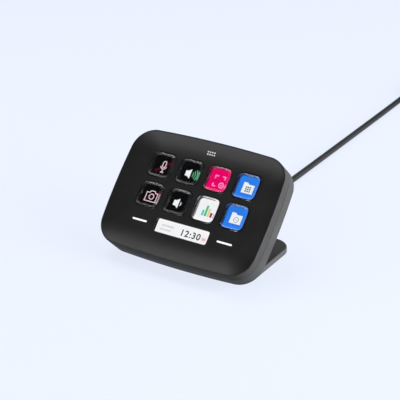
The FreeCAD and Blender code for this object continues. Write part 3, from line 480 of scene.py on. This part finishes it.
def rounded(x, y, width, height, radius):
    """The outline of a rounded rectangle about a centre."""
    points = []
    for turn, (side, end) in enumerate(((1, 1), (-1, 1), (-1, -1), (1, -1))):
        corner_x = x + side * (width / 2 - radius)
        corner_y = y + end * (height / 2 - radius)
        points.extend(arc(corner_x, corner_y, radius, 90 * turn, 90 * turn + 90, 6))
    return points


def stroke(points, width, closed=False):
    """Quads along a line of points, as wide as a pen."""
    count = len(points)
    sides = []
    for index, (x, y) in enumerate(points):
        before = points[index - 1] if index or closed else points[index]
        after = points[(index + 1) % count] if index < count - 1 or closed else points[index]
        into = Vector((x - before[0], y - before[1]))
        out = Vector((after[0] - x, after[1] - y))
        into = into.normalized() if into.length else out.normalized()
        out = out.normalized() if out.length else into
        along = (into + out).normalized()
        half = width / 2 / max(along.dot(out), MITRE_LIMIT)
        normal = Vector((-along.y, along.x)) * half
        sides.append(((x + normal.x, y + normal.y), (x - normal.x, y - normal.y)))
    last = count if closed else count - 1
    quads = []
    for index in range(last):
        (left, right), (next_left, next_right) = sides[index], sides[(index + 1) % count]
        quads.append([left, right, next_right, next_left])
    return quads


def add_layer(mesh, polygons, base, thickness, slot_index):
    """Flat prisms on the face frame's plane Z = base."""
    for polygon in polygons:
        area = sum(a[0] * b[1] - b[0] * a[1] for a, b in zip(polygon, polygon[1:] + polygon[:1]))
        ordered = polygon if area > 0 else list(reversed(polygon))
        low = [mesh.verts.new((x, y, base)) for x, y in ordered]
        high = [mesh.verts.new((x, y, base + thickness)) for x, y in ordered]
        faces = [mesh.faces.new(high), mesh.faces.new(list(reversed(low)))]
        for face in faces + join_rings(mesh, low, high):
            face.material_index = slot_index


def picture(name, layers, base, place=Matrix.Identity(4)):
    """One object made of flat layers, each a material, its polygons and a thickness, stacked outwards."""
    mesh = bmesh.new()
    data = bpy.data.meshes.new(name)
    level = base
    for index, (material, polygons, thickness) in enumerate(layers):
        data.materials.append(material)
        add_layer(mesh, polygons, level, thickness, index)
        level += thickness
    mesh.transform(FACE @ place)
    mesh.to_mesh(data)
    mesh.free()
    piece = bpy.data.objects.new(name, data)
    scene.collection.objects.link(piece)
    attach(piece, "housing")


def moved(polygons, x, y):
    return [[(px + x, py + y) for px, py in polygon] for polygon in polygons]


def speaker():
    """A loudspeaker's box and horn in one outline."""
    return [[(-4.1, -1.75), (-2.5, -1.75), (-0.4, -3.2), (-0.4, 3.2), (-2.5, 1.75), (-4.1, 1.75)]]


def waves(count, first):
    """Sound waves: arcs one outside the other, from the first one's radius."""
    polygons = []
    for ring in range(count):
        radius = first + WAVE_STEP * ring
        polygons.extend(stroke(arc(-0.8, 0, radius, -WAVE_SPREAD, WAVE_SPREAD), PEN))
    return polygons


def microphone():
    """A capsule's outline in its cradle, on a stem and a base."""
    polygons = stroke(arc(-0.1, 2.5, 1.1, 0, 180) + arc(-0.1, 0.5, 1.1, 180, 360), PEN, True)
    polygons += stroke(arc(-0.1, 0.5, 2.1, 190, 350, 14), PEN)
    polygons.append([(-0.35, -3.6), (0.15, -3.6), (0.15, -1.6), (-0.35, -1.6)])
    polygons.append([(-1.2, -4.1), (1.0, -4.1), (1.0, -3.5), (-1.2, -3.5)])
    return polygons


def camera_outline():
    """A camera's body with its raised finder, and its lens."""
    body = [(-4.2, -3.7), (3.7, -3.7), (3.7, 2.0), (1.9, 2.0),
            (1.2, 3.25), (-1.5, 3.25), (-2.2, 2.0), (-4.2, 2.0)]
    return stroke(body, PEN, True) + stroke(disc(-0.15, -0.5, 1.7), PEN, True)


def slash(width):
    """A bar across the whole picture, upwards to the right."""
    rise = SLASH_REACH * SLASH_SLOPE
    return stroke([(-SLASH_REACH, -rise), (SLASH_REACH, rise)], width)


def brackets():
    """Three corners of a frame, with a ringed dot in the fourth."""
    polygons = []
    for side, end in ((-1, 1), (1, 1), (-1, -1)):
        x = -0.05 + side * FRAME_REACH
        y = -0.35 + end * FRAME_REACH
        polygons.extend(stroke([(x, y - end * 1.9), (x, y), (x - side * 2.0, y)], FRAME_PEN))
    polygons.extend(stroke(disc(2.3, -2.5, 1.6), FRAME_PEN, True))
    polygons.append(disc(2.3, -2.5, 0.6))
    return polygons


def folder():
    """A folder with its tab at the top left."""
    return [[(-3.8, -3.4), (3.8, -3.4), (3.8, 2.4), (-0.2, 2.4), (-1.2, 3.5), (-3.8, 3.5)]]


def dot_grid():
    """Three rows of three squares, on a folder."""
    return [rounded(0.1 + 1.35 * column, -0.7 + 1.3 * row, 0.95, 0.9, 0.15)
            for column in (-1, 0, 1) for row in (-1, 0, 1)]


def small_mark():
    """A ring with a bar in it, on a folder."""
    return stroke(disc(0.2, -0.8, 1.65), 0.35, True) + stroke([(-0.8, -0.8), (1.2, -0.8)], 0.3)


def bar(x, height):
    """One bar of a chart."""
    return [rounded(x, BAR_FOOT + height / 2, BAR_WIDTH, height, BAR_CORNER)]


def key_pictures():
    """What each key shows: its ground, and its marks in layers from the ground up."""
    white = lit("mark_white", srgb(250, 252, 252))
    pink = lit("mark_pink", srgb(246, 222, 228))
    dark_red = lit("mark_dark_red", srgb(78, 13, 36))
    green = lit("mark_green", srgb(110, 205, 150))
    magenta = lit("ground_magenta", srgb(246, 0, 106))
    light_pink = lit("mark_light_pink", srgb(255, 150, 212))
    blue = lit("ground_blue", srgb(47, 132, 242))
    black = lit("ground_black", srgb(10, 10, 11))
    pale = lit("ground_white", srgb(255, 255, 255))
    ink = lit("mark_ink", srgb(60, 88, 84))
    grey = lit("mark_grey", srgb(150, 155, 158))
    teal = lit("mark_teal", srgb(90, 215, 205))
    leaf = lit("mark_leaf", srgb(80, 200, 120))
    amber = lit("mark_amber", srgb(240, 215, 150))
    crimson = lit("mark_crimson", srgb(165, 30, 75))
    speaking = (white, moved(speaker(), 0, -0.2))
    return [
        (black, [(dark_red, slash(1.7)), (pink, microphone())]),
        (black, [speaking, (green, moved(waves(3, 2.3), 0, -0.2))]),
        (magenta, [(light_pink, brackets())]),
        (blue, [(white, folder()), (ink, dot_grid())]),
        (black, [(dark_red, slash(1.6)), (pink, camera_outline())]),
        (black, [speaking, (white, moved(waves(1, 1.9), 0, -0.2))]),
        (pale, [(teal, bar(-2.6, 3.8)), (leaf, bar(-0.6, 7.0)), (amber, bar(1.4, 5.2)),
                (crimson, bar(3.4, 3.0))]),
        (blue, [(white, folder()), (grey, small_mark())]),
    ]


def add_key_pictures():
    for number, (ground, marks) in enumerate(key_pictures(), start=1):
        x, y = key_place(number)
        layers = [(ground, [rounded(x, y, TILE_WIDTH, TILE_HEIGHT, TILE_CORNER)], TILE_THICKNESS)]
        for material, polygons in marks:
            layers.append((material, moved(polygons, x, y), MARK_THICKNESS))
        picture("key_picture_" + str(number), layers, DISPLAY_TOP)


def info_mark(x, up, width, height, corner):
    return rounded(x, INFO_Y + up, width, height, corner)


def add_info_picture():
    """A white ground with two grey lines and a small mark; the time is an object of its own."""
    ground = lit("info_ground", srgb(252, 252, 252))
    grey = lit("info_grey", srgb(226, 226, 226))
    blush = lit("info_blush", srgb(253, 243, 245))
    rose = lit("info_rose", srgb(228, 190, 196))
    layers = [
        (ground, [info_mark(*INFO_GROUND)], TILE_THICKNESS),
        (grey, [info_mark(*line) for line in INFO_LINES], MARK_THICKNESS),
        (blush, [info_mark(*INFO_BLUSH)], MARK_THICKNESS),
        (rose, [info_mark(*INFO_ROSE)], MARK_THICKNESS),
    ]
    picture("info_picture", layers, INFO_TOP)


def add_clock():
    """The time on the info display."""
    text = bpy.data.curves.new("info_clock", "FONT")
    text.body = "12:30"
    text.align_x = "CENTER"
    text.align_y = "CENTER"
    text.size = CLOCK_SIZE
    text.offset = CLOCK_WEIGHT
    text.space_character = CLOCK_SPACING
    text.extrude = CLOCK_THICKNESS
    clock = bpy.data.objects.new("info_clock", text)
    text.materials.append(lit("info_digits", srgb(48, 48, 50)))
    scene.collection.objects.link(clock)
    place = (CLOCK_X, INFO_Y + CLOCK_UP, INFO_TOP + TILE_THICKNESS + MARK_THICKNESS)
    clock.matrix_world = FACE @ Matrix.Translation(place)
    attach(clock, "housing")


def dish_height(y):
    """How far the dished face stands above the key field, straight above the keys."""
    share = (OUTLINE_TOP - y - RIM_LAND) / DISH_WIDTH
    return RIM_HEIGHT * (1 - share) ** 2


def add_face_mark():
    """Eight printed dots above the keys, laid out as the keys are."""
    ink = grained("face_print", (0.62, 0.62, 0.62), 0.5)
    dots = [disc(DOT_PITCH * (column - MIDDLE_COLUMN), DOT_PITCH * (row - MIDDLE_ROW), DOT_RADIUS)
            for column in range(KEY_COLUMNS) for row in range(KEY_ROWS)]
    rise = dish_height(FACE_MARK_Y + 0.5) - dish_height(FACE_MARK_Y - 0.5)
    place = Matrix.Translation((0, FACE_MARK_Y, dish_height(FACE_MARK_Y)))
    slope = Matrix.Rotation(math.atan(rise), 4, "X")
    picture("face_mark", [(ink, dots, FACE_MARK_THICKNESS)], -FACE_MARK_SINK, place @ slope)


# Cable

def coil_reach(turn):
    """The coil's radius and its rise after a number of turns: in on the floor, up, and out on top."""
    inner_turn = (COIL_TURNS - COIL_CLIMB) / 2
    outer = COIL_MEAN_DIAMETER / 2 + inner_turn * COIL_SPACING / 2
    if turn <= inner_turn:
        return outer - COIL_SPACING * turn, 0.0
    if turn >= inner_turn + COIL_CLIMB:
        return outer - COIL_SPACING * (COIL_TURNS - turn), COIL_SPACING
    share = (turn - inner_turn) / COIL_CLIMB
    radius = outer - COIL_SPACING * (inner_turn + COIL_CLIMB * share * (1 - share))
    return radius, COIL_SPACING * share * share * (3 - 2 * share)


def coil_points():
    """The coil's control points, set out by as much as the spline cuts inside them."""
    x, y, z = CABLE_ROUTE[-1]
    centre = Vector((x + coil_reach(0)[0], y, z))
    spread = 1 / math.cos(math.pi / COIL_POINTS_PER_TURN) ** COIL_CUT_INSIDE
    points = []
    count = int(COIL_TURNS * COIL_POINTS_PER_TURN)
    for step in range(1, count + 1):
        turn = step / COIL_POINTS_PER_TURN
        radius, rise = coil_reach(turn)
        if step < count:
            radius *= spread
        angle = math.pi - 2 * math.pi * turn
        points.append(centre + Vector((radius * math.cos(angle), radius * math.sin(angle), rise)))
    return points


def add_cable():
    """One spline from the plug over the desk, through the coil, to the far end."""
    points = [Vector(point) for point in CABLE_ROUTE] + coil_points()
    start = points[-1]
    points.extend(start + Vector(step) for step in TAIL_STEPS)
    curve = bpy.data.curves.new("usb_cable", "CURVE")
    curve.dimensions = "3D"
    curve.bevel_depth = CABLE_DIAMETER / 2
    curve.bevel_resolution = 6
    curve.resolution_u = 6
    curve.use_fill_caps = True
    spline = curve.splines.new("NURBS")
    spline.points.add(len(points) - 1)
    for control, point in zip(spline.points, points):
        control.co = (*point, 1)
    spline.order_u = 3
    spline.use_endpoint_u = True
    cable = bpy.data.objects.new("usb_cable", curve)
    scene.collection.objects.link(cable)
    jacket = grained("cable_jacket", (0.022, 0.023, 0.025), 0.55, grain=COARSE_GRAIN, specular=0.4)
    curve.materials.append(jacket)
    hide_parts("usb_cable_run", "usb_cable_coil")
    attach(cable, "housing")


# Stage and light

def any_ray(nodes, links, *kinds):
    """1 for rays of these kinds, and 0 for others."""
    path = nodes.new("ShaderNodeLightPath")
    found = path.outputs[kinds[0]]
    for kind in kinds[1:]:
        either = nodes.new("ShaderNodeMath")
        either.operation = "MAXIMUM"
        links.new(found, either.inputs[0])
        links.new(path.outputs[kind], either.inputs[1])
        found = either.outputs[0]
    return found


def add_floor():
    """A matt floor that takes shadows, and glows as the backdrop where rays see it."""
    mesh = bpy.data.meshes.new("floor")
    corners = [(-FLOOR_REACH, -FLOOR_REACH, 0), (FLOOR_REACH, -FLOOR_REACH, 0),
               (FLOOR_REACH, FLOOR_REACH, 0), (-FLOOR_REACH, FLOOR_REACH, 0)]
    mesh.from_pydata(corners, [], [(0, 1, 2, 3)])
    floor = bpy.data.objects.new("floor", mesh)
    floor.location = (0, 0, -FLOOR_DROP)
    scene.collection.objects.link(floor)
    material, nodes, links, shader = new_material("floor")
    shader.inputs["Base Color"].default_value = (*FLOOR_COLOUR, 1)
    shader.inputs["Roughness"].default_value = 0.9
    shader.inputs["Specular IOR Level"].default_value = 0.0
    shader.inputs["Emission Color"].default_value = (*BACKDROP, 1)
    level = nodes.new("ShaderNodeMath")
    level.operation = "MULTIPLY"
    level.inputs[1].default_value = FLOOR_GLOW
    seen = any_ray(nodes, links, "Is Camera Ray", "Is Glossy Ray", "Is Transmission Ray")
    links.new(seen, level.inputs[0])
    links.new(level.outputs[0], shader.inputs["Emission Strength"])
    mesh.materials.append(material)


def add_world():
    """A pale backdrop for the camera, which gloss and clear plastic see low down, and a dim soft fill."""
    world = bpy.data.worlds.new("world")
    world.use_nodes = True
    scene.world = world
    nodes = world.node_tree.nodes
    links = world.node_tree.links
    back = nodes["Background"]
    back.inputs["Color"].default_value = (*BACKDROP, 1)
    place = nodes.new("ShaderNodeTexCoord")
    parts = nodes.new("ShaderNodeSeparateXYZ")
    links.new(place.outputs["Generated"], parts.inputs["Vector"])
    low = nodes.new("ShaderNodeMapRange")
    low.inputs["From Min"].default_value = FADE_START
    low.inputs["From Max"].default_value = FADE_END
    low.inputs["To Min"].default_value = 1.0
    low.inputs["To Max"].default_value = WORLD_SHINE
    links.new(parts.outputs["Z"], low.inputs["Value"])
    shine = nodes.new("ShaderNodeMix")
    shine.inputs["A"].default_value = WORLD_FILL
    links.new(any_ray(nodes, links, "Is Glossy Ray", "Is Transmission Ray"), shine.inputs["Factor"])
    links.new(low.outputs["Result"], shine.inputs["B"])
    level = nodes.new("ShaderNodeMix")
    level.inputs["B"].default_value = 1.0
    links.new(any_ray(nodes, links, "Is Camera Ray"), level.inputs["Factor"])
    links.new(shine.outputs["Result"], level.inputs["A"])
    links.new(level.outputs["Result"], back.inputs["Strength"])


def add_lamps():
    """Soft rectangular lamps that face the object."""
    for name, place, width, height, power in LAMPS:
        data = bpy.data.lights.new(name, "AREA")
        data.shape = "RECTANGLE"
        data.size = width
        data.size_y = height
        data.energy = power
        lamp = bpy.data.objects.new(name, data)
        lamp.location = place
        lamp.rotation_euler = (Vector(LAMP_TARGET) - Vector(place)).to_track_quat("-Z", "Y").to_euler()
        scene.collection.objects.link(lamp)


add_camera()
add_cable()
add_floor()
add_world()
add_lamps()
dress_nodes()
add_caps()
add_key_pictures()
add_info_picture()
add_clock()
add_face_mark()
scene.view_settings.view_transform = "Standard"
